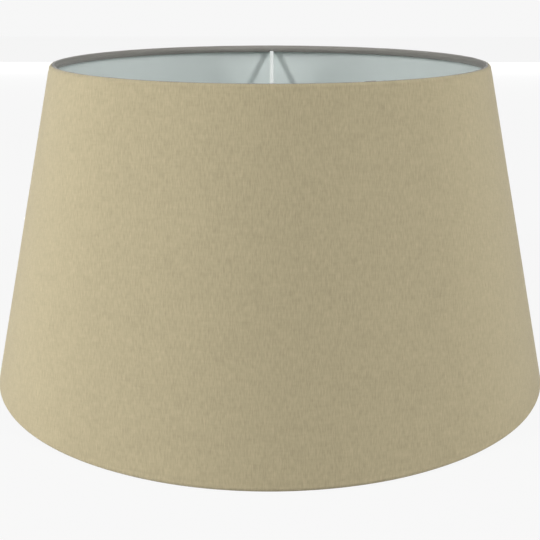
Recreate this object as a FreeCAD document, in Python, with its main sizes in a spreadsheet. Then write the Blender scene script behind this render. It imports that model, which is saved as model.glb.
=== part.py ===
import FreeCAD, Part
import math
import os

import Sketcher

# A tapered drum lamp shade with rolled rims, in millimetres. +Z is up, the origin is the centre of the
# bottom rim's plane, and the rear spoke and the cover's lap seam are at +Y. Every piece but the fitter is
# placed from one line: the line from the bottom ring's wire centre to the top ring's.

SIZES = {
    "bottomDiameter": 400,  # outermost, over the rolled rim
    "topDiameter": 302,
    "shadeHeight": 224,
    "ringWire": 3.4,
    "adhesive": 0.3,  # double-sided tape round each ring
    "fabric": 0.5,  # cover cloth, and edge tape of the same thickness
    "backing": 0.4,  # plastic panel bonded inside the cover
    "backingSetBack": 0.3,  # from each rolled rim to the panel's edge
    "tuckAngle": 63,  # from the wall's normal to the edge tape's tucked end
    "topAdhesiveMiddle": 120,  # round the wire, from level outwards
    "bottomAdhesiveMiddle": 240,
    "adhesiveReach": 160,  # each way from the adhesive's middle
    "rollSpan": 22,  # the longest single arc in a rolled layer's section
    "lapWidth": 10,
    "lapRoot": 2,  # where the upper layer joins the lower one
    "seamTape": 0.15,
    "seamTapeWidth": 7,
    "spokeWire": 3.4,
    "spokeCount": 3,
    "spokeInset": 1.0,  # axis of a leg's top, inward from the ring's wire centre
    "spokeTopDrop": 0.6,  # the leg's end, below the ring's wire centre
    "spokeLegLean": 13,  # from upright, inward going down
    "spokeBend": 8,  # at the wire's axis, where the leg turns into the arm
    "spokeNotch": 0.3,  # clearance round a leg in the tapes
    "fitterBore": 42,
    "fitterDiameter": 60,
    "fitterSheet": 1.2,
    "fitterWall": 6,
    "fitterBend": 1.0,  # inside radius of the pressed corner
    "fitterDrop": 54,  # from the top rim down to the fitter's seat
    "spokeOverSeat": 4.1,  # axis of an arm above the seat
}

doc = FreeCAD.newDocument("LampShade")
sheet = doc.addObject("Spreadsheet::Sheet", "sizes")
for row, (alias, value) in enumerate(SIZES.items(), start=1):
    sheet.set(f"A{row}", alias)
    sheet.set(f"B{row}", str(value))
    sheet.setAlias(f"B{row}", alias)
doc.recompute()


def size(alias):
    return sheet.get(alias)


# Sizes that follow from the sheet, as expressions over its cells.
ROLL = "(sizes.ringWire / 2 + sizes.adhesive + sizes.fabric)"
HEM = "(sizes.ringWire / 2 + sizes.adhesive)"
TOP_RADIUS = f"(sizes.topDiameter / 2 - {ROLL})"
BOTTOM_RADIUS = f"(sizes.bottomDiameter / 2 - {ROLL})"
TOP_HEIGHT = f"(sizes.shadeHeight - {ROLL})"
LEAN = f"atan(({BOTTOM_RADIUS} - {TOP_RADIUS}) / ({TOP_HEIGHT} - {ROLL}))"
MEAN_RADIUS = "((sizes.bottomDiameter + sizes.topDiameter) / 4)"
SEAT_HEIGHT = "(sizes.shadeHeight - sizes.fitterDrop)"

# The same values as numbers, for where a sketch's lines are first drawn.
roll = size("ringWire") / 2 + size("adhesive") + size("fabric")
topCentre = (size("topDiameter") / 2 - roll, size("shadeHeight") - roll)
bottomCentre = (size("bottomDiameter") / 2 - roll, roll)
lean = math.atan2(bottomCentre[0] - topCentre[0], topCentre[1] - bottomCentre[1])


def polar(centre, radius, angle):
    """The point at a radius and an angle from a centre, in the section's plane."""
    return FreeCAD.Vector(centre[0] + radius * math.cos(angle), centre[1] + radius * math.sin(angle), 0)


def newBody(name):
    body = doc.addObject("PartDesign::Body", name)
    body.Label = name
    return body


def originPart(body, role):
    return next(feature for feature in body.Origin.OriginFeatures if feature.Role == role)


def newSketch(body, name):
    """A section sketch: across is the distance from the shade's axis, up is the height."""
    sketch = body.newObject("Sketcher::SketchObject", name)
    sketch.AttachmentSupport = [(originPart(body, "YZ_Plane"), "")]
    sketch.MapMode = "FlatFace"
    return sketch


def bind(sketch, constraint, name, expression):
    """Adds one constraint, names it and ties it to an expression over the sheet."""
    index = sketch.addConstraint(constraint)
    sketch.renameConstraint(index, name)
    sketch.setExpression(f"Constraints.{name}", expression)


def polygon(sketch, corners):
    """Straight sides from corner to corner, joined end to end in a closed loop."""
    ends = zip(corners, corners[1:] + corners[:1])
    sides = [sketch.addGeometry(Part.LineSegment(first, second), False) for first, second in ends]
    for side, following in zip(sides, sides[1:] + sides[:1]):
        sketch.addConstraint(Sketcher.Constraint("Coincident", side, 2, following, 1))
    return sides


def place(sketch, geometry, point, name, across, up):
    """Holds a point of the sketch at a distance from the axis and a height."""
    position = sketch.getPoint(geometry, point)
    outward = Sketcher.Constraint("DistanceX", -1, 1, geometry, point, position.x)
    upward = Sketcher.Constraint("DistanceY", -1, 1, geometry, point, position.y)
    bind(sketch, outward, f"{name}Across", across)
    bind(sketch, upward, f"{name}Up", up)


def ringLine(sketch):
    """The construction line from the bottom ring's wire centre to the top ring's."""
    line = sketch.addGeometry(Part.LineSegment(polar(bottomCentre, 0, 0), polar(topCentre, 0, 0)), True)
    place(sketch, line, 1, "bottomRing", BOTTOM_RADIUS, ROLL)
    place(sketch, line, 2, "topRing", TOP_RADIUS, TOP_HEIGHT)
    return line


def turn(body, sketch, name, kind="PartDesign::Revolution", angle=None, reverse=False, axis="V_Axis"):
    """Turns a section about the shade's axis, all the way round or through an angle."""
    feature = body.newObject(kind, name)
    feature.Profile = sketch
    feature.ReferenceAxis = (sketch, [axis])
    feature.Angle = 360
    feature.Reversed = reverse
    if angle:
        feature.setExpression("Angle", angle)
    sketch.Visibility = False
    doc.recompute()
    return feature


def wallStrip(body, name, inner, outer, setBack=None):
    """A straight strip along the wall, between two distances outward from the ring line."""
    sketch = newSketch(body, name)
    line = ringLine(sketch)
    near, far = size("ringWire") / 2, roll
    alongWall = FreeCAD.Vector(-math.sin(lean), math.cos(lean), 0) * (roll if setBack else 0)
    corners = [
        polar(bottomCentre, near, lean) + alongWall,
        polar(bottomCentre, far, lean) + alongWall,
        polar(topCentre, far, lean) - alongWall,
        polar(topCentre, near, lean) - alongWall,
    ]
    lowEnd, outside, highEnd, inside = polygon(sketch, corners)
    sketch.addConstraint(Sketcher.Constraint("Parallel", outside, line))
    sketch.addConstraint(Sketcher.Constraint("Parallel", inside, line))
    sketch.addConstraint(Sketcher.Constraint("Perpendicular", lowEnd, line))
    sketch.addConstraint(Sketcher.Constraint("Perpendicular", highEnd, line))
    bind(sketch, Sketcher.Constraint("Distance", outside, 1, line, far), "outer", outer)
    bind(sketch, Sketcher.Constraint("Distance", inside, 1, line, near), "inner", inner)
    if setBack:
        bind(sketch, Sketcher.Constraint("Distance", line, 1, lowEnd, 1), "lowSetBack", setBack)
        bind(sketch, Sketcher.Constraint("Distance", line, 2, highEnd, 1), "highSetBack", setBack)
    else:
        sketch.addConstraint(Sketcher.Constraint("PointOnObject", line, 1, lowEnd))
        sketch.addConstraint(Sketcher.Constraint("PointOnObject", line, 2, highEnd))
    return sketch


def coverSection(body):
    """The cover's section: over the top rim from its crest, down the wall and under the bottom rim."""
    sketch = newSketch(body, "coverSection")
    quarter = math.pi / 2
    arcs = {}
    for name, centre, start, end in (
        ("top", topCentre, lean, quarter),
        ("bottom", bottomCentre, -quarter, lean),
    ):
        for side, radius in (("Outer", roll), ("Inner", roll - size("fabric"))):
            circle = Part.Circle(polar(centre, 0, 0), FreeCAD.Vector(0, 0, 1), radius)
            arcs[name + side] = sketch.addGeometry(Part.ArcOfCircle(circle, start, end), False)
        inner, outer = arcs[f"{name}Inner"], arcs[f"{name}Outer"]
        sketch.addConstraint(Sketcher.Constraint("Coincident", inner, 3, outer, 3))
    place(sketch, arcs["topOuter"], 3, "topRing", TOP_RADIUS, TOP_HEIGHT)
    place(sketch, arcs["bottomOuter"], 3, "bottomRing", BOTTOM_RADIUS, ROLL)
    for side, radius, expression in (("Outer", roll, ROLL), ("Inner", roll - size("fabric"), HEM)):
        top, bottom = arcs[f"top{side}"], arcs[f"bottom{side}"]
        ends = [polar(centre, radius, lean) for centre in (bottomCentre, topCentre)]
        wall = sketch.addGeometry(Part.LineSegment(*ends))
        sketch.addConstraint(Sketcher.Constraint("Tangent", wall, 1, bottom, 2))
        sketch.addConstraint(Sketcher.Constraint("Tangent", wall, 2, top, 1))
        bind(sketch, Sketcher.Constraint("Radius", top, radius), f"top{side}", expression)
        bind(sketch, Sketcher.Constraint("Radius", bottom, radius), f"bottom{side}", expression)
    for name, centre, point, angle in (
        ("top", topCentre, 2, quarter),
        ("bottom", bottomCentre, 1, -quarter),
    ):
        inner, outer = arcs[f"{name}Inner"], arcs[f"{name}Outer"]
        ends = [polar(centre, radius, angle) for radius in (roll - size("fabric"), roll)]
        edge = sketch.addGeometry(Part.LineSegment(*ends))
        sketch.addConstraint(Sketcher.Constraint("Coincident", edge, 1, inner, point))
        sketch.addConstraint(Sketcher.Constraint("Coincident", edge, 2, outer, point))
        sketch.addConstraint(Sketcher.Constraint("Vertical", edge))
        sketch.addConstraint(Sketcher.Constraint("Vertical", outer, 3, outer, point))
    return sketch


def rollSection(body, atTop, inner, outer, start, end):
    """A layer of a rolled rim, between two radii and two angles round the ring's wire.

    Each radius is drawn as a row of short arcs that meet on rays from the wire's centre.
    """
    sketch = newSketch(body, "rollSection")
    centre = topCentre if atTop else bottomCentre
    ring = (TOP_RADIUS, TOP_HEIGHT) if atTop else (BOTTOM_RADIUS, ROLL)
    first, last = math.radians(start[0]), math.radians(end[0])
    count = math.ceil((last - first) / math.radians(size("rollSpan")))
    angles = [first + (last - first) * step / count for step in range(count + 1)]
    rows = {}
    for name, (radius, expression) in (("inner", inner), ("outer", outer)):
        circle = Part.Circle(polar(centre, 0, 0), FreeCAD.Vector(0, 0, 1), radius)
        spans = zip(angles, angles[1:])
        arcs = [sketch.addGeometry(Part.ArcOfCircle(circle, *span), False) for span in spans]
        bind(sketch, Sketcher.Constraint("Radius", arcs[0], radius), name, expression)
        rows[name] = arcs
    place(sketch, rows["outer"][0], 3, "ring", *ring)
    for arc in rows["inner"] + rows["outer"][1:]:
        sketch.addConstraint(Sketcher.Constraint("Coincident", arc, 3, rows["outer"][0], 3))
    for arcs in rows.values():
        for arc, following in zip(arcs, arcs[1:]):
            sketch.addConstraint(Sketcher.Constraint("Coincident", arc, 2, following, 1))
    for step, angle in enumerate(angles):
        ray = sketch.addGeometry(Part.LineSegment(polar(centre, 0, 0), polar(centre, outer[0], angle)), True)
        arc, point = (step, 1) if step < count else (count - 1, 2)
        sketch.addConstraint(Sketcher.Constraint("Coincident", ray, 1, rows["outer"][0], 3))
        sketch.addConstraint(Sketcher.Constraint("Coincident", ray, 2, rows["outer"][arc], point))
        sketch.addConstraint(Sketcher.Constraint("PointOnObject", rows["inner"][arc], point, ray))
        sweep = f"({start[1]}) + (({end[1]}) - ({start[1]})) * {step} / {count}"
        bind(sketch, Sketcher.Constraint("Angle", ray, angle), f"ray{step}", sweep)
    for arc, point in ((0, 1), (count - 1, 2)):
        ends = [sketch.getPoint(rows[name][arc], point) for name in ("inner", "outer")]
        edge = sketch.addGeometry(Part.LineSegment(*ends), False)
        sketch.addConstraint(Sketcher.Constraint("Coincident", edge, 1, rows["inner"][arc], point))
        sketch.addConstraint(Sketcher.Constraint("Coincident", edge, 2, rows["outer"][arc], point))
    return sketch


def legLine(sketch, construction):
    """The axis of a rear spoke's leg, drawn upwards to where it meets the top ring."""
    leg = math.radians(90 - size("spokeLegLean"))
    top = FreeCAD.Vector(topCentre[0] - size("spokeInset"), topCentre[1] - size("spokeTopDrop"), 0)
    low = top - FreeCAD.Vector(math.cos(leg), math.sin(leg), 0) * (size("fitterDrop") / 2)
    line = sketch.addGeometry(Part.LineSegment(low, top), construction)
    across, up = f"{TOP_RADIUS} - sizes.spokeInset", f"{TOP_HEIGHT} - sizes.spokeTopDrop"
    place(sketch, line, 2, "legTop", across, up)
    upright = "(90 - sizes.spokeLegLean) * 1 deg"
    bind(sketch, Sketcher.Constraint("Angle", line, leg), "legAngle", upright)
    return line


def notchSection(body):
    """Half the section of a round bar along a rear leg's axis, to be turned about that axis."""
    sketch = newSketch(body, "notchSection")
    radius = size("spokeWire") / 2 + size("spokeNotch")
    axis = legLine(sketch, True)
    length = 4 * size("spokeWire")
    bind(sketch, Sketcher.Constraint("Distance", axis, length), "notchLength", "4 * sizes.spokeWire")
    low, top = sketch.getPoint(axis, 1), sketch.getPoint(axis, 2)
    across = FreeCAD.Vector(top.y - low.y, low.x - top.x, 0).normalize() * radius
    sides = polygon(sketch, [low, top, top + across, low + across])
    sketch.addConstraint(Sketcher.Constraint("Coincident", sides[0], 1, axis, 1))
    sketch.addConstraint(Sketcher.Constraint("Coincident", sides[0], 2, axis, 2))
    sketch.addConstraint(Sketcher.Constraint("Perpendicular", sides[0], sides[1]))
    sketch.addConstraint(Sketcher.Constraint("Perpendicular", sides[0], sides[3]))
    sketch.addConstraint(Sketcher.Constraint("Parallel", sides[0], sides[2]))
    width = "sizes.spokeWire / 2 + sizes.spokeNotch"
    bind(sketch, Sketcher.Constraint("Distance", sides[1], radius), "radius", width)
    return sketch


def spokePath(body):
    """The axis of a rear spoke: down the leg, round the bend and in along the level arm."""
    sketch = newSketch(body, "spokePath")
    lean, bend = math.radians(size("spokeLegLean")), size("spokeBend")
    armHeight = size("shadeHeight") - size("fitterDrop") + size("spokeOverSeat")
    leg = legLine(sketch, False)
    top = sketch.getPoint(leg, 2)
    corner = top.x - (top.y - armHeight) * math.tan(lean)
    trim = bend * math.tan(math.pi / 4 - lean / 2)
    middle = (corner - trim, armHeight + bend)
    circle = Part.Circle(polar(middle, 0, 0), FreeCAD.Vector(0, 0, 1), bend)
    arc = sketch.addGeometry(Part.ArcOfCircle(circle, -math.pi / 2, -lean), False)
    fitterEnd = FreeCAD.Vector(size("fitterDiameter") / 2 - size("fitterSheet"), armHeight, 0)
    arm = sketch.addGeometry(Part.LineSegment(fitterEnd, polar(middle, bend, -math.pi / 2)), False)
    sketch.addConstraint(Sketcher.Constraint("Tangent", leg, 1, arc, 2))
    sketch.addConstraint(Sketcher.Constraint("Tangent", arm, 2, arc, 1))
    sketch.addConstraint(Sketcher.Constraint("Horizontal", arm))
    bind(sketch, Sketcher.Constraint("Radius", arc, bend), "bend", "sizes.spokeBend")
    height = f"{SEAT_HEIGHT} + sizes.spokeOverSeat"
    place(sketch, arm, 1, "fitterEnd", "sizes.fitterDiameter / 2 - sizes.fitterSheet", height)
    return sketch


def spokeSection(body):
    """The wire's round section at the arm's inner end."""
    sketch = body.newObject("Sketcher::SketchObject", "spokeSection")
    sketch.AttachmentSupport = [(originPart(body, "XZ_Plane"), "")]
    sketch.MapMode = "FlatFace"
    sketch.setExpression("AttachmentOffset.Base.z", "-(sizes.fitterDiameter / 2 - sizes.fitterSheet)")
    radius = size("spokeWire") / 2
    armHeight = size("shadeHeight") - size("fitterDrop") + size("spokeOverSeat")
    outline = Part.Circle(FreeCAD.Vector(0, armHeight, 0), FreeCAD.Vector(0, 0, 1), radius)
    circle = sketch.addGeometry(outline, False)
    sketch.addConstraint(Sketcher.Constraint("PointOnObject", circle, 3, -2))
    height = f"{SEAT_HEIGHT} + sizes.spokeOverSeat"
    bind(sketch, Sketcher.Constraint("DistanceY", -1, 1, circle, 3, armHeight), "up", height)
    bind(sketch, Sketcher.Constraint("Radius", circle, radius), "wire", "sizes.spokeWire / 2")
    return sketch


def boxSection(sketch, low, high, lowPlace, highPlace):
    """An upright rectangle in a sketch, from one corner to the other."""
    corners = [
        FreeCAD.Vector(low[0], low[1], 0),
        FreeCAD.Vector(high[0], low[1], 0),
        FreeCAD.Vector(high[0], high[1], 0),
        FreeCAD.Vector(low[0], high[1], 0),
    ]
    sides = polygon(sketch, corners)
    for index, side in enumerate(sides):
        sketch.addConstraint(Sketcher.Constraint("Vertical" if index % 2 else "Horizontal", side))
    place(sketch, sides[0], 1, "low", *lowPlace)
    place(sketch, sides[2], 1, "high", *highPlace)


def makeCover():
    body = newBody("fabric_cover")
    turn(body, coverSection(body), "coverShell")
    lapAngle = f"sizes.lapWidth / {MEAN_RADIUS} * 180 / pi"
    rootAngle = f"sizes.lapRoot / {MEAN_RADIUS} * 180 / pi"
    lifted = f"{ROLL} + sizes.seamTape"
    topLayer = wallStrip(body, "lapSection", lifted, f"{lifted} + sizes.fabric")
    rootLayer = wallStrip(body, "lapRootSection", ROLL, f"{lifted} + sizes.fabric")
    turn(body, rootLayer, "lapRoot", angle=rootAngle, reverse=True)
    turn(body, topLayer, "lap", angle=lapAngle)


def makeBacking():
    body = newBody("backing_panel")
    inner = f"{HEM} - sizes.backing"
    section = wallStrip(body, "panelSection", inner, HEM, f"{ROLL} + sizes.backingSetBack")
    turn(body, section, "panel")


def makeSeamTape():
    body = newBody("seam_tape")
    section = wallStrip(body, "tapeSection", ROLL, f"{ROLL} + sizes.seamTape")
    turn(body, section, "tape", angle=f"sizes.seamTapeWidth / {MEAN_RADIUS} * 180 / pi")


def makeRing(name, radius, up):
    ring = doc.addObject("Part::Torus", name)
    ring.Label = name
    ring.setExpression("Radius1", radius)
    ring.setExpression("Radius2", "sizes.ringWire / 2")
    ring.setExpression("Placement.Base.z", up)


def notchForSpokes(body):
    """Cuts the way through for each spoke's leg."""
    notch = turn(body, notchSection(body), "spokeNotch", kind="PartDesign::Groove", axis="Axis0")
    pattern = body.newObject("PartDesign::PolarPattern", "spokeNotches")
    pattern.Originals = [notch]
    pattern.Axis = (originPart(body, "Z_Axis"), [""])
    pattern.Angle = 360
    pattern.setExpression("Occurrences", "sizes.spokeCount")
    body.Tip = pattern
    doc.recompute()


def makeRollLayers():
    """Each rim's double-sided tape round the wire, and the woven edge tape over its inner side."""
    leanDegrees = math.degrees(lean)
    wire = (size("ringWire") / 2, "sizes.ringWire / 2")
    hem = (roll - size("fabric"), HEM)
    skin = (roll, ROLL)
    tuck, reach = size("tuckAngle"), size("adhesiveReach")

    def reachOf(alias):
        return (
            (size(alias) - reach, f"(sizes.{alias} - sizes.adhesiveReach) * 1 deg"),
            (size(alias) + reach, f"(sizes.{alias} + sizes.adhesiveReach) * 1 deg"),
        )

    topEnd = (360 + leanDegrees - tuck, f"360 deg + {LEAN} - sizes.tuckAngle * 1 deg")
    bottomStart = (leanDegrees + tuck, f"{LEAN} + sizes.tuckAngle * 1 deg")
    layers = (
        ("top_edge_tape", True, hem, skin, (90, "90 deg"), topEnd),
        ("bottom_edge_tape", False, hem, skin, bottomStart, (270, "270 deg")),
        ("top_ring_adhesive", True, wire, hem, *reachOf("topAdhesiveMiddle")),
        ("bottom_ring_adhesive", False, wire, hem, *reachOf("bottomAdhesiveMiddle")),
    )
    for name, atTop, inner, outer, start, end in layers:
        body = newBody(name)
        turn(body, rollSection(body, atTop, inner, outer, start, end), "layer")
        if atTop:
            notchForSpokes(body)


def makeSpoke(name, angle):
    """A bent wire: a leg down from the top ring and an arm in to the fitter, its ends shaped to both."""
    body = newBody(name)
    path = spokePath(body)
    section = spokeSection(body)
    doc.recompute()
    wire = body.newObject("PartDesign::AdditivePipe", "wire")
    wire.Profile = section
    wire.Spine = (path, ["Edge1", "Edge2", "Edge3"])
    doc.recompute()
    ringSection = newSketch(body, "ringSection")
    circle = Part.Circle(polar(topCentre, 0, 0), FreeCAD.Vector(0, 0, 1), size("ringWire") / 2)
    wire = ringSection.addGeometry(circle, False)
    place(ringSection, wire, 3, "ring", TOP_RADIUS, TOP_HEIGHT)
    bind(ringSection, Sketcher.Constraint("Radius", wire, size("ringWire") / 2), "wire", "sizes.ringWire / 2")
    turn(body, ringSection, "ringEnd", kind="PartDesign::Groove")
    fitterSection = newSketch(body, "fitterSection")
    seat = size("shadeHeight") - size("fitterDrop")
    boxSection(
        fitterSection,
        (0, seat - size("fitterWall")),
        (size("fitterDiameter") / 2, seat + 2 * size("fitterWall")),
        ("0", f"{SEAT_HEIGHT} - sizes.fitterWall"),
        ("sizes.fitterDiameter / 2", f"{SEAT_HEIGHT} + 2 * sizes.fitterWall"),
    )
    turn(body, fitterSection, "fitterEnd", kind="PartDesign::Groove")
    body.Placement = FreeCAD.Placement(FreeCAD.Vector(), FreeCAD.Rotation(FreeCAD.Vector(0, 0, 1), angle))


def makeFitter():
    """A pressed ring that sits on the lamp holder's flange: a flat seat and an upturned wall."""
    body = newBody("fitter_ring")
    section = newSketch(body, "fitterSection")
    seat = size("shadeHeight") - size("fitterDrop")
    bore, rim, thick = size("fitterBore") / 2, size("fitterDiameter") / 2, size("fitterSheet")
    wall = size("fitterWall")
    outline = [(bore, seat), (rim, seat), (rim, seat + wall), (rim - thick, seat + wall)]
    outline += [(rim - thick, seat + thick), (bore, seat + thick)]
    corners = [FreeCAD.Vector(x, y, 0) for x, y in outline]
    sides = polygon(section, corners)
    for index, side in enumerate(sides):
        section.addConstraint(Sketcher.Constraint("Vertical" if index % 2 else "Horizontal", side))
    place(section, sides[0], 1, "seat", "sizes.fitterBore / 2", SEAT_HEIGHT)
    place(section, sides[2], 1, "top", "sizes.fitterDiameter / 2", f"{SEAT_HEIGHT} + sizes.fitterWall")
    inside = ("sizes.fitterDiameter / 2 - sizes.fitterSheet", f"{SEAT_HEIGHT} + sizes.fitterSheet")
    place(section, sides[4], 1, "inside", *inside)
    pressed = turn(body, section, "pressing")
    bends = (
        ("outerBend", rim, seat, "sizes.fitterBend + sizes.fitterSheet"),
        ("innerBend", rim - thick, seat + thick, "sizes.fitterBend"),
    )
    for name, radius, height, expression in bends:
        edge = next(
            f"Edge{index}"
            for index, found in enumerate(pressed.Shape.Edges, start=1)
            if isinstance(found.Curve, Part.Circle)
            and abs(found.Curve.Radius - radius) < 1e-6
            and abs(found.Curve.Center.z - height) < 1e-6
        )
        bend = body.newObject("PartDesign::Fillet", name)
        bend.Base = (pressed, [edge])
        bend.setExpression("Radius", expression)
        doc.recompute()
        pressed = bend


def checkAndExport():
    doc.recompute()
    failed = [o.Name for o in doc.Objects if "Invalid" in o.State or "Error" in o.State]
    if failed:
        raise RuntimeError(f"these did not build: {failed}")
    os.makedirs("parts", exist_ok=True)
    for piece in doc.Objects:
        if piece.TypeId not in ("PartDesign::Body", "Part::Torus"):
            continue
        shape = piece.Shape
        if shape.isNull() or not shape.isValid() or shape.Volume <= 0:
            raise RuntimeError(f"{piece.Label} has no valid solid")
        shape.exportStep(f"parts/{piece.Label}.step")
        box = shape.BoundBox
        print(
            f"{piece.Label}: {len(shape.Solids)} solid, {shape.Volume:.0f} mm3,"
            f" x {box.XMin:.2f}..{box.XMax:.2f} y {box.YMin:.2f}..{box.YMax:.2f}"
            f" z {box.ZMin:.2f}..{box.ZMax:.2f}"
        )


makeRing("top_ring", TOP_RADIUS, TOP_HEIGHT)
makeRing("bottom_ring", BOTTOM_RADIUS, ROLL)
makeCover()
makeBacking()
makeSeamTape()
makeRollLayers()
for number, name in enumerate(("spoke_rear", "spoke_left", "spoke_right")):
    makeSpoke(name, number * 360 / size("spokeCount"))
makeFitter()
checkAndExport()
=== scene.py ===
import math

import bpy
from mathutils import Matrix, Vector, noise


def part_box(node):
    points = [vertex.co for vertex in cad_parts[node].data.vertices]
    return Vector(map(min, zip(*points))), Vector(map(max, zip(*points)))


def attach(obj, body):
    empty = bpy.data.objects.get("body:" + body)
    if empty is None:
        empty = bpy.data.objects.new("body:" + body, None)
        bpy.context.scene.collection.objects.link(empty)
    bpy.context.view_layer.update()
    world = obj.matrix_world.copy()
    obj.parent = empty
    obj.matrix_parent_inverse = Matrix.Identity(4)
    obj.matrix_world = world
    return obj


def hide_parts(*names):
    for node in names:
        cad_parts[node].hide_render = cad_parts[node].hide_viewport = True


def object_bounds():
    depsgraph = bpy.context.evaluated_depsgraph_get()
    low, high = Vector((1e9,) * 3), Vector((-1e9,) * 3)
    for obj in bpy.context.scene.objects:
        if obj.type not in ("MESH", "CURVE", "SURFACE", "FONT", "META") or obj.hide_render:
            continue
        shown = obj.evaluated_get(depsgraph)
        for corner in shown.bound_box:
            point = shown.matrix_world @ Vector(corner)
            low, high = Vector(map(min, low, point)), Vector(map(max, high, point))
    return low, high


# A rolled-rim drum shade. Lengths are in metres, angles in degrees unless a name says otherwise.
# A section across the shade's wall is read from the side: across is the distance from the axis.

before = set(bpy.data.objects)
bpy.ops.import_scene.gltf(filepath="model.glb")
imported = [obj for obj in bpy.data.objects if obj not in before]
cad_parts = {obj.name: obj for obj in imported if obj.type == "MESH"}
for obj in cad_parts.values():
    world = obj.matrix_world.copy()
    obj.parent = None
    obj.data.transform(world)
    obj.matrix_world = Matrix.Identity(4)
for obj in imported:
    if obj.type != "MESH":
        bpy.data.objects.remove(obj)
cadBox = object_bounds()

topLow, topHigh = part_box("top_ring")
baseLow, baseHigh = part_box("bottom_ring")
wireRadius = (topHigh.z - topLow.z) / 2
topRing = Vector((topHigh.x - wireRadius, (topLow.z + topHigh.z) / 2))
baseRing = Vector((baseHigh.x - wireRadius, (baseLow.z + baseHigh.z) / 2))
rollRadius = cadBox[1].z - topRing.y
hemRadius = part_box("top_ring_adhesive")[1].z - topRing.y
lean = math.atan2(baseRing.x - topRing.x, topRing.y - baseRing.y)
wallLength = (baseRing - topRing).length
rearAzimuth = 90
frontAzimuth = 270

cover = {
    "columnsInTurn": 360,
    "firstColumn": 7,  # the trimmed corners lie before it
    "lastColumn": 356,  # the lap's own columns come after it
    "beforeFirst": 0.0125,  # a column just past the trimmed corners
    "lapRiseColumns": (-0.006, -0.0045, -0.0036, -0.003, -0.0025, -0.002, -0.0015, -0.001, -0.0005, 0),
    "lapFlatColumns": 9,  # a millimetre apart, on the lap's flat part
    "lapFoldColumns": (0.7, 0.4, 0.2, 0.07, 0),  # shares of the folded edge
    "wallRows": 56,
    "rimRows": 14,
    "topEnd": 97,  # where the cloth stops under the edge tape, round the top wire
    "baseEnd": -97,
    "pressed": 0.00038,  # how far the cloth is pressed down under the edge tape
    "topPressed": 72.5,  # where the edge tape's edge begins to press it, round the wire
    "basePressed": 83,
    "pressedOver": 9,
    "lapWidth": 0.010,
    "lapRise": 0.003,  # along the cloth, from lying on the panel to lying on the other end
    "lapLift": 0.00065,
    "lapClear": 0.004,  # from each rim to where the two layers begin
    "lapFade": 0.008,
    "trim": 0.01003,  # the under layer's corners are cut off this far, so the rims stay thin
    "trimOver": 0.006,
    "edgeFold": 0.0008,
    "edgeSink": 0.7,  # how far the folded edge's two faces close in on each other
    "edgeLift": 0.3,
    "thinnest": 0.0001,
    "dip": 0.00018,  # the cloth spans from the rim to the panel's edge
    "dipLength": 0.0028,
    "ripple": 0.00007,
    "rippleSize": 0.045,
    "fineShare": 0.3,
    "fineSize": 0.014,
    "threadPitch": 0.00052,
}

seam = {
    "width": 0.007,
    "inset": 0.0002,
    "thickness": 0.00012,
    "clearance": 0.00001,  # above the layer it lies on
    "columns": 6,
    "rows": 20,
}

liner = {
    "columns": 300,
    "rows": 28,
    "thickness": 0.0004,
    "setBack": 0.0028,
    "buttGap": 0.00025,
    "clearance": 0.00003,  # inside the cloth
    "bow": 0.00004,
    "bowSize": 0.06,
}

edgeTape = {
    "columns": 420,
    "rows": 34,
    "topStart": 80,  # round the wire, from level outwards; the crest is at 90
    "baseStart": 90.6,
    "width": 0.010,
    "topTuck": 51,  # from the wall's normal to the tape's inner edge
    "baseTuck": 40,
    "overCloth": 0.00018,  # the tape lies on the cloth's pressed edge
    "overUntil": 99,
    "overFade": 6,
    "selvedge": 0.00006,
    "selvedgeAt": 0.0005,
    "selvedgeSize": 0.0004,
    "edgeRound": 0.00025,
    "endRound": 0.0003,
    "outerPinch": 0.8,  # how much of the rounding the outer face takes
    "innerPinch": 0.2,
    "lapAzimuth": 292,
    "lapWidth": 0.006,
    "lapLift": 0.00028,
    "lapRise": (-0.0022, -0.0002),
    "lapColumns": (-0.3, -0.2, -0.1, 0.25, 0.5, 0.75, 0.9, 0.97, 1),
    "notchHalf": 0.0020,
    "notchTop": 206,
    "notchFade": 25,
    "notchLip": 0.00014,
    "notchLipSize": 0.0012,
    "notchColumns": (0, 0.3, 0.55, 0.75, 0.88, 0.96, 0.995, 1.0, 1.02, 1.3, 1.8, 2.4),
    "notchReach": 0.0052,  # the even columns stop this far from a leg
    "sag": 0.0004,  # how far the tape stands off the wire where it tucks under
    "sagFrom": 205,
    "sagUntil": 250,
    "ripple": 0.00006,
    "rippleSize": 0.012,
}

spoke = {
    "inset": 0.001,
    "topDrop": 0.0006,
    "shorter": 0.0011,  # the leg's end stays out of sight under the tape
    "legLean": 13,
    "bend": 0.008,
    "armAboveSeat": 0.0041,
    "sides": 20,
    "bendPoints": 14,
    "weldFlare": 0.55,  # share of the wire's radius
    "weldLength": 0.0011,
    "endRound": 0.0004,
    "endShare": 0.35,  # of the wire's thickness, left at its rounded end
    "pointSpacing": 0.0006,
    "azimuths": {"spokeRear": 90, "spokeLeft": 210, "spokeRight": 330},
    "nodes": {"spokeRear": "spoke_rear", "spokeLeft": "spoke_left", "spokeRight": "spoke_right"},
}

fitter = {
    "sheet": 0.0012,
    "innerBend": 0.001,
    "edgeRound": 0.0004,
    "bore": 0.021,
    "segments": 144,
    "cornerSteps": 6,
    "pressMark": 0.00008,  # the press leaves the wall a hair out of round
    "pressTurn": 0.6,
}

camera = {
    "distance": 0.6835,
    "height": 0.2813,
    "pitch": 17.10,
    "turn": 0.58,
    "lens": 64,
    "sensor": 36,
}

studio = {
    "target": (0, 0, 0.12),
    "distance": 2.6,
    "background": 0.929,
    "ambient": 0.06,
    "floorBounce": 0.55,
    "floorShadow": 0.04,
    "floorGlow": 0.945,
    "floorMatt": 0.9,
    "floorSize": 8,
}

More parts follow.
